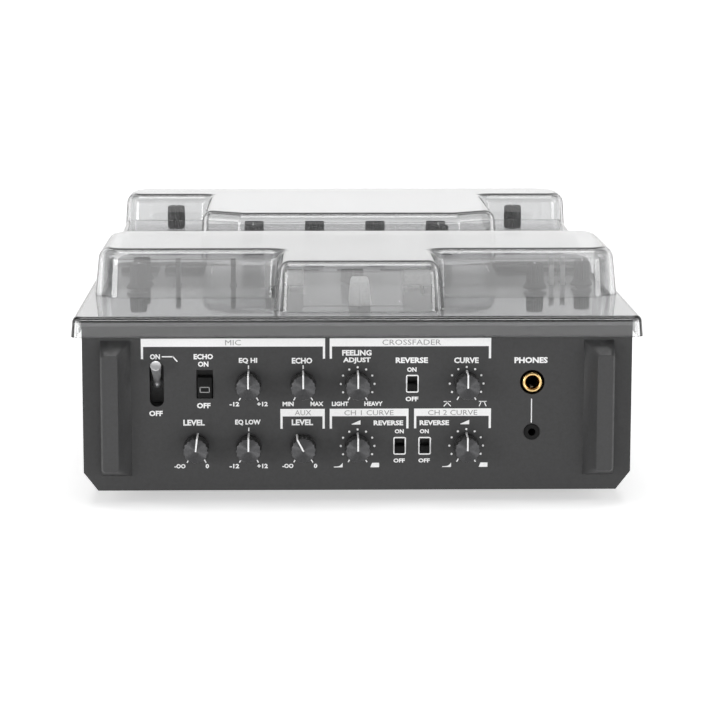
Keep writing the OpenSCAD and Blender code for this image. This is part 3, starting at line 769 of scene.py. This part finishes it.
def lettering(text, x, y, width, height, weight=0.04, level=0):
    """Letters centred on x and y, made to a width and a height."""
    curve = bpy.data.curves.new("letters", "FONT")
    curve.body = text
    curve.offset = weight
    curve.resolution_u = 2
    obj = bpy.data.objects.new("letters", curve)
    bpy.context.collection.objects.link(obj)
    bm = bmesh.new()
    bm.from_mesh(as_mesh(obj))
    bmesh.ops.remove_doubles(bm, verts=bm.verts, dist=1e-5)
    xs = [vert.co.x for vert in bm.verts]
    ys = [vert.co.y for vert in bm.verts]
    fit = Matrix.Diagonal((width / (max(xs) - min(xs)), height / (max(ys) - min(ys)), 1, 1))
    centred = Matrix.Translation((-(max(xs) + min(xs)) / 2, -(max(ys) + min(ys)) / 2, 0))
    bm.transform(Matrix.Translation((x, y, 0)) @ fit @ centred)
    return inked(bm, level)


def bracket(left, right, high, low, leg_end):
    """A bar with a short leg down from each end."""
    leg = 1.1
    return join(bar(left, low, right, high), bar(left, leg_end, left + leg, low),
                bar(right - leg, leg_end, right, low))


def knob_scale(x, y, dotted=False):
    """Two end ticks under a knob and, on a dotted scale, a ring of dots between them."""
    parts = []
    for side in (-1, 1):
        angle = math.radians(150 * side)
        ray = Vector((math.sin(angle), math.cos(angle)))
        parts.append(stroke([Vector((x, y)) + ray * 7.7, Vector((x, y)) + ray * 9], 0.55))
    if dotted:
        for step in range(-4, 5):
            angle = math.radians(30 * step)
            parts.append(spot(x + 8.2 * math.sin(angle), y + 8.2 * math.cos(angle), 0.53))
    return join(*parts)


def curve_signs(x, y):
    """The channel fader's curve: a ramp above its knob, a late rise to the left and an early one right."""
    wide, tall, low = 4.3, 2.2, y - 10.6
    ramp = [(x - 2.9, y + 10.6), (x + 1.4, y + 10.6), (x + 1.4, y + 12.8), (x - 2.9, y + 10.9)]
    late = [(x - 11.6 + wide * t / 8, low + 0.4 + (tall - 0.4) * (t / 8) ** 4) for t in range(8, -1, -1)]
    early = [(x + 6.2, low), (x + 6.2 + wide, low), (x + 6.2 + wide, low + tall), (x + 7.1, low + tall)]
    return join(inked(flat(ramp)), inked(flat(late + [(x - 11.6, low), (x - 11.6 + wide, low)])),
                inked(flat(early)))


def crossfader_signs(x, y):
    """The crossfader's curve: a slow cross to the left of its knob and a sharp one to the right."""
    slow = [[(-10.9, 1), (-9.8, 1), (-7.8, -1.2)], [(-10.9, -1.2), (-8.9, 1), (-7.8, 1)]]
    sharp = [[(6.3, 1), (9.5, 1)], [(6.3, -1.2), (7.2, 1)], [(9.5, -1.2), (8.6, 1)]]
    return join(*(stroke([(x + dx, y + dy) for dx, dy in line]) for line in slow + sharp))


# Each bar's upper edge, its lower edge and its legs' lower ends
TITLE_BAR = (81, 77, 71)
SMALL_BAR = (46.3, 42.6, 36.5)


def front_labels():
    """The words and scales on the front panel."""
    title, small = 2.9, 2.2
    above, beside = 11.5, -9.8
    mic_x, echo_x, feel_x, curve_x = (knob_centre(n)[0] for n in (
        "mic_high_knob", "echo_knob", "feeling_adjust_knob", "crossfader_curve_knob"))
    level_x = knob_centre("mic_level_knob")[0]
    slide_x = centre_of("echo_switch")[0]
    reverse_x = centre_of("crossfader_reverse_switch")[0]
    side_x = [centre_of("channel_%d_reverse_switch" % n)[0] for n in (1, 2)]
    jack_x = centre_of("phones_jack_ring")[0]
    words = [
        ("ON", TOGGLE_X - 0.7, UPPER_Z + 13.6, 4.9, 2.6),
        ("OFF", TOGGLE_X - 0.5, UPPER_Z - 14.3, 6.6, 2.7),
        ("ECHO", slide_x - 0.6, UPPER_Z + 13.6, 9.4, 2.6),
        ("ON", slide_x - 0.7, UPPER_Z + 9.9, 5.1, 2.6),
        ("OFF", slide_x - 0.6, UPPER_Z - 10.5, 6.6, 2.7),
        ("EQ HI", mic_x - 0.2, UPPER_Z + above, 8.9, title),
        ("ECHO", echo_x - 0.5, UPPER_Z + above, 9.9, title),
        ("FEELING", feel_x - 0.4, UPPER_Z + 15.3, 14.3, 2.8),
        ("ADJUST", feel_x - 0.4, UPPER_Z + 11.5, 13.4, 3.1),
        ("REVERSE", reverse_x - 0.3, UPPER_Z + 11.6, 15.7, 2.85),
        ("ON", reverse_x - 0.3, UPPER_Z + 7, 4.6, 2.3),
        ("OFF", reverse_x - 0.2, UPPER_Z - 7.5, 6.2, 2.3),
        ("CURVE", curve_x - 0.2, UPPER_Z + above, 12, title),
        ("PHONES", jack_x - 0.7, UPPER_Z + above, 16.2, 3),
        ("-12", mic_x - 6.9, UPPER_Z + beside, 4.7, small),
        ("+12", mic_x + 6.7, UPPER_Z + beside, 5.2, small),
        ("MIN", echo_x - 7.3, UPPER_Z + beside, 5.4, small),
        ("MAX", echo_x + 6.7, UPPER_Z + beside, 6.3, small),
        ("LIGHT", feel_x - 8.5, UPPER_Z + beside, 8.1, small),
        ("HEAVY", feel_x + 7.7, UPPER_Z + beside, 8.9, small),
        ("LEVEL", level_x - 1.1, LOWER_Z + 11.8, 10.4, title),
        ("EQ LOW", mic_x - 0.4, LOWER_Z + 11.8, 12.4, title),
        ("LEVEL", echo_x - 0.4, LOWER_Z + 11.8, 10.4, title),
        ("-OO", level_x - 8.1, LOWER_Z + beside, 5.4, small),
        ("0", level_x + 5.2, LOWER_Z + beside, 1.7, small),
        ("-12", mic_x - 7.1, LOWER_Z + beside, 4.7, small),
        ("+12", mic_x + 6.6, LOWER_Z + beside, 5.2, small),
        ("-OO", echo_x - 7.5, LOWER_Z + beside, 5.4, small),
        ("0", echo_x + 6, LOWER_Z + beside, 1.7, small),
        ("REVERSE", side_x[0] - 5.5, LOWER_Z + 11.4, 14.4, 2.5),
        ("REVERSE", side_x[1] + 4.7, LOWER_Z + 11.4, 14.4, 2.5),
    ]
    for x in side_x:
        words += [("ON", x - 0.2, LOWER_Z + 7.2, 4.4, 2.1), ("OFF", x - 0.2, LOWER_Z - 7.3, 5.6, 2.1)]
    parts = [(lettering(*word), 0) for word in words]
    bars = [bracket(left, right, *TITLE_BAR) for left, right in ((-105, -15.8), (-13.6, 64.8))]
    bars += [bracket(left, right, *SMALL_BAR) for left, right in ((-37.6, -16), (-13.6, 24.8), (27.5, 65))]
    lines = [stroke([(TOGGLE_X + 2.9, UPPER_Z + 13.6), (TOGGLE_X + 8, UPPER_Z + 13.6),
                     (TOGGLE_X + 9.9, UPPER_Z + 11.4)], 0.6),
             stroke([(jack_x - 0.25, 50.8), (jack_x - 0.25, 39.4)], 0.5)]
    signs = [crossfader_signs(curve_x, UPPER_Z + beside),
             curve_signs(feel_x, LOWER_Z), curve_signs(curve_x, LOWER_Z)]
    windows = [outline(centre_of(n)[0], z, 6.2, 8.8, 0.62, 0.9) for n, z in (
        ("crossfader_reverse_switch", UPPER_Z), ("channel_1_reverse_switch", LOWER_Z),
        ("channel_2_reverse_switch", LOWER_Z))]
    dotted = {"feeling_adjust_knob", "crossfader_curve_knob", "channel_1_curve_knob",
              "channel_2_curve_knob"}
    scales = [knob_scale(*knob_centre(n), n in dotted) for n in FRONT_KNOBS]
    for node in ("mic_high_knob", "echo_knob", "mic_low_knob"):
        x, z = knob_centre(node)
        scales.append(stroke([(x, z + 7.7), (x, z + 9)], 0.55))
    parts += [(bm, 0) for bm in bars + lines + signs + windows + scales]
    names = [("MIC", -60.4, 79, 7.6, 2.6), ("CROSSFADER", 26.2, 79, 28.5, 2.6), ("AUX", -26.6, 44.4, 8, 2.5),
             ("CH 1 CURVE", 5.5, 44.3, 24, 2.5), ("CH 2 CURVE", 46.3, 44.3, 24, 2.5)]
    parts += [(lettering(*name, 0.0, 1), 1) for name in names]
    whole = join(*parts)
    whole.transform(on_front(0, 0))
    add_piece(whole, "front_print", "chassis", [print_white, print_grey])


front_labels()


MARK_PITCH = 4.5
CHANNEL_LINES = ((76, 168), (32, 222))
CHANNEL_LINES_REAR = 352


def deck_marks():
    """Scales and channel lines on the deck."""
    marks = []
    for node in DECK_KNOBS:
        x, depth, _ = centre_of(node)
        marks.append(knob_scale(round(x, 1), round(depth, 1)))
    for node in ("channel_fader_1", "channel_fader_2"):
        x, depth, _ = centre_of(node)
        for step in range(-5, 6):
            length = 4.5 if step % 5 == 0 else 2.6
            for side in (-1, 1):
                y = depth + step * MARK_PITCH
                marks.append(stroke([(x + side * 8, y), (x + side * (8 + length), y)], 0.4))
    _, depth, _ = centre_of("crossfader_cap")
    for step in (-5, 0, 5):
        marks.append(stroke([(step * MARK_PITCH, depth + 12.5), (step * MARK_PITCH, depth + 16)], 0.5))
    for side in (-1, 1):
        for x, front in CHANNEL_LINES:
            marks.append(stroke([(side * x, front), (side * x, CHANNEL_LINES_REAR)], 0.4))
    whole = join(*marks)
    whole.transform(on_deck(0, 0))
    add_piece(whole, "deck_print", "chassis", [print_white])


deck_marks()


# ---------------------------------------------------------------- level meters and rear sockets

def lens_plastic(name, colour):
    finish = Finish(name, colour, 0.25, Coat_Weight=0.5, Coat_Roughness=0.08)
    finish.mottle(shade(colour, 0.8), shade(colour, 1.2), 900, 2)
    return finish.grain(1200, 0.01).material


lens_green = lens_plastic("lens_green", (0.03, 0.16, 0.06))
lens_amber = lens_plastic("lens_amber", (0.35, 0.14, 0.02))
lens_red = lens_plastic("lens_red", (0.3, 0.02, 0.015))
socket_white = moulded_plastic("socket_white", 0.75, 0.4)
socket_red = Finish("socket_red", (0.5, 0.02, 0.02), 0.4).mottle(
    (0.42, 0.015, 0.015), (0.55, 0.03, 0.03), 600).material

METER_X = 7
METER_MIDDLE = 288
FIRST_LENS = 252
LENS_PITCH = 6.5
GREEN_LENSES, AMBER_LENSES, RED_LENSES = 8, 2, 2

REAR_ROW_Z = 48
XLR_XS = (-105, -75)
BALANCED_XS = (-50, -32)
PHONO_XS = (-8, 8, 28, 44)
PHONO_ROWS = ((38, 1), (58, 0))
USB_XS = (62, 80)
INLET_X, INLET_Z = 108, 40


def level_meters():
    """Two ladders of small lenses in a bezel, between the channels."""
    bezel = [(block((9, 82, 0.8), on_deck(side * METER_X, METER_MIDDLE, 0.1), 0.3), 0) for side in (-1, 1)]
    colours = [1] * GREEN_LENSES + [2] * AMBER_LENSES + [3] * RED_LENSES
    lenses = []
    for side in (-1, 1):
        for step, index in enumerate(colours):
            place = on_deck(side * METER_X, FIRST_LENS + step * LENS_PITCH, 0.4)
            lenses.append((block((4.6, 3.4, 0.9), place, 0.3), index))
    add_piece(join(*bezel, *lenses), "level_meters", "chassis",
              [switch_plastic, lens_green, lens_amber, lens_red])


def rear_details():
    """Insulators, collars, tongues and pins of the rear sockets."""
    parts = []
    for x in PHONO_XS:
        for z, colour in PHONO_ROWS:
            place = on_rear(x, z)
            parts.append((lathe([(4.2, 0), (5.6, 0), (5.6, 0.7), (5.3, 1.0), (4.2, 1.0), (4.2, 0)],
                                40, place), colour))
            parts.append((lathe([(1.65, 5.2), (3.3, 5.2), (3.3, 6.1), (1.65, 6.1), (1.65, 5.2)],
                                32, place), colour))
    for x in BALANCED_XS:
        nut = [(5.1, 0), (6.6, 0), (6.6, 1.2), (6.2, 1.6), (5.1, 1.6), (5.1, 0)]
        parts.append((lathe(nut, 6, on_rear(x, REAR_ROW_Z)), 2))
    add_piece(join(*parts), "rear_collars", "chassis",
              [socket_white, socket_red, switch_plastic])
    metal = []
    for x, z in ((-5, -2), (5, -2), (0, 3)):
        metal.append(block((2, 4.2, 12), on_rear(INLET_X + x, INLET_Z + z, -8), 0.4))
    add_piece(join(*metal), "inlet_pins", "chassis", [bare_metal])
    tongues = [block((5.6, 2.6, 9), on_rear(x, REAR_ROW_Z, -5), 0.3) for x in USB_XS]
    add_piece(join(*tongues), "usb_tongues", "chassis", [socket_white])


def xlr_inserts():
    """The black three-way inserts in the microphone sockets."""
    for number, x in enumerate(XLR_XS, 1):
        disc = helper(lathe([(0, 1.0), (9.2, 1.0), (9.2, 1.5), (8.9, 1.8), (0, 1.8)], 64))
        holes = []
        for angle in (90, 210, 330):
            turn = math.radians(angle)
            hole = lathe([(0, -1), (1.3, -1), (1.3, 4), (0, 4)], 24,
                         Matrix.Translation((4.2 * math.cos(turn), 4.2 * math.sin(turn), 0)))
            bmesh.ops.recalc_face_normals(hole, faces=hole.faces)
            holes.append(helper(hole))
        drilled = combined(disc, holes, "DIFFERENCE")
        bm = bmesh.new()
        bm.from_mesh(drilled.data)
        bpy.data.objects.remove(drilled)
        bm.transform(on_rear(x, REAR_ROW_Z))
        add_piece(bm, "xlr_insert_%d" % number, "chassis", [switch_plastic])


level_meters()
rear_details()
xlr_inserts()


# ---------------------------------------------------------------- camera, light, floor

CAMERA_PLACE = (-0.0294, front_y_m - 1.2532, 0.2724)


def camera():
    """Stands in front of the mixer, a little to its left, and looks slightly down."""
    yaw, pitch, roll = math.radians(1.395), math.radians(9.158), math.radians(0.076)
    data = bpy.data.cameras.new("camera")
    data.lens = 130.85
    data.sensor_width = 36
    data.clip_end = 20
    obj = bpy.data.objects.new("camera", data)
    bpy.context.collection.objects.link(obj)
    obj.matrix_world = (Matrix.Translation(CAMERA_PLACE)
                        @ Matrix.Rotation(-yaw, 4, "Z") @ Matrix.Rotation(math.radians(90) - pitch, 4, "X")
                        @ Matrix.Rotation(roll, 4, "Z"))
    bpy.context.scene.camera = obj


def softbox(name, place, target, size, power):
    data = bpy.data.lights.new(name, "AREA")
    data.shape = "RECTANGLE"
    data.size, data.size_y = size
    data.energy = power
    obj = bpy.data.objects.new(name, data)
    obj.location = place
    obj.rotation_euler = (Vector(target) - Vector(place)).to_track_quat("-Z", "Y").to_euler()
    bpy.context.collection.objects.link(obj)


WHITE = 1.05
DIM = 0.18

# Where the room turns white: a direction's part to the rear, and its part upwards
TO_REAR = (0.1, 0.5)
UPWARDS = (0.3, 0.46)

# The paper's own light near the mixer, what it gains, and the distances in metres between which it does
FLOOR_GLOW = 0.5
FLOOR_GAIN = 0.6
FLOOR_RAMP = (0.5, 2.0)

# Each light's name, place, target, size and power
LIGHTS = (
    ("overhead", (0, 0.2, 1.8), (0, 0, 0), (1.6, 1.0), 18),
    ("front_card", (0, -3.2, 0.42), (0, 0, 0.1), (3.6, 0.5), 10),
    ("low_card", (-1.5, -1.5, 0.32), (0, 0, 0.06), (0.7, 0.5), 10.3),
    ("low_card", (1.5, -1.5, 0.32), (0, 0, 0.06), (0.7, 0.5), 6.7),
    ("left_side", (-1.6, -0.6, 0.8), (0, 0, 0.05), (0.5, 1.2), 5),
    ("right_side", (1.6, -0.6, 0.8), (0, 0, 0.05), (0.5, 1.2), 5),
)


def surround():
    """A white room behind the mixer that darkens overhead and towards the user."""
    world = bpy.data.worlds.new("studio")
    bpy.context.scene.world = world
    world.use_nodes = True
    tree = world.node_tree

    def math_node(operation, a, b):
        node = tree.nodes.new("ShaderNodeMath")
        node.operation = operation
        for socket, value in zip(node.inputs, (a, b)):
            if isinstance(value, float):
                socket.default_value = value
            else:
                tree.links.new(value, socket)
        return node.outputs["Value"]

    def ramp(source, start, end, low, high):
        node = tree.nodes.new("ShaderNodeMapRange")
        for key, value in (("From Min", start), ("From Max", end), ("To Min", low), ("To Max", high)):
            node.inputs[key].default_value = value
        tree.links.new(source, node.inputs["Value"])
        return node.outputs["Result"]

    direction = tree.nodes.new("ShaderNodeTexCoord").outputs["Generated"]
    split = tree.nodes.new("ShaderNodeSeparateXYZ")
    tree.links.new(direction, split.inputs["Vector"])
    behind = math_node("MULTIPLY", ramp(split.outputs["Y"], *TO_REAR, 0.0, 1.0),
                       ramp(split.outputs["Z"], *UPWARDS, 1.0, 0.0))
    light = ramp(behind, 0.0, 1.0, DIM, WHITE)
    seen = tree.nodes.new("ShaderNodeLightPath").outputs["Is Camera Ray"]
    strength = math_node("MAXIMUM", light, math_node("MULTIPLY", seen, WHITE))
    tree.links.new(strength, tree.nodes["Background"].inputs["Strength"])
    tree.nodes["Background"].inputs["Color"].default_value = (1, 1, 1, 1)


def studio():
    surround()
    bm = bmesh.new()
    bmesh.ops.create_grid(bm, x_segments=1, y_segments=1, size=12)
    floor = helper(bm, "floor")
    paper = Finish("floor_paper", (0.93, 0.93, 0.93), 0.9, Emission_Color=(1, 1, 1, 1))
    paper.mottle((0.925, 0.925, 0.925), (0.935, 0.935, 0.935), 40)
    # Away from the mixer the paper runs up into the white background, as the camera sees it
    distance = paper.node("ShaderNodeVectorMath", operation="LENGTH")
    paper.link(paper.place, distance.inputs[0])
    away = paper.node("ShaderNodeMath", operation="MULTIPLY_ADD")
    paper.link(paper.ranged(distance.outputs["Value"], 0.0, FLOOR_GAIN, *FLOOR_RAMP), away.inputs[0])
    paper.link(paper.node("ShaderNodeLightPath").outputs["Is Camera Ray"], away.inputs[1])
    away.inputs[2].default_value = FLOOR_GLOW
    paper.link(away.outputs["Value"], paper.shader.inputs["Emission Strength"])
    floor.data.materials.append(paper.material)
    for light in LIGHTS:
        softbox(*light)
    bpy.context.scene.view_settings.view_transform = "Standard"


camera()
studio()
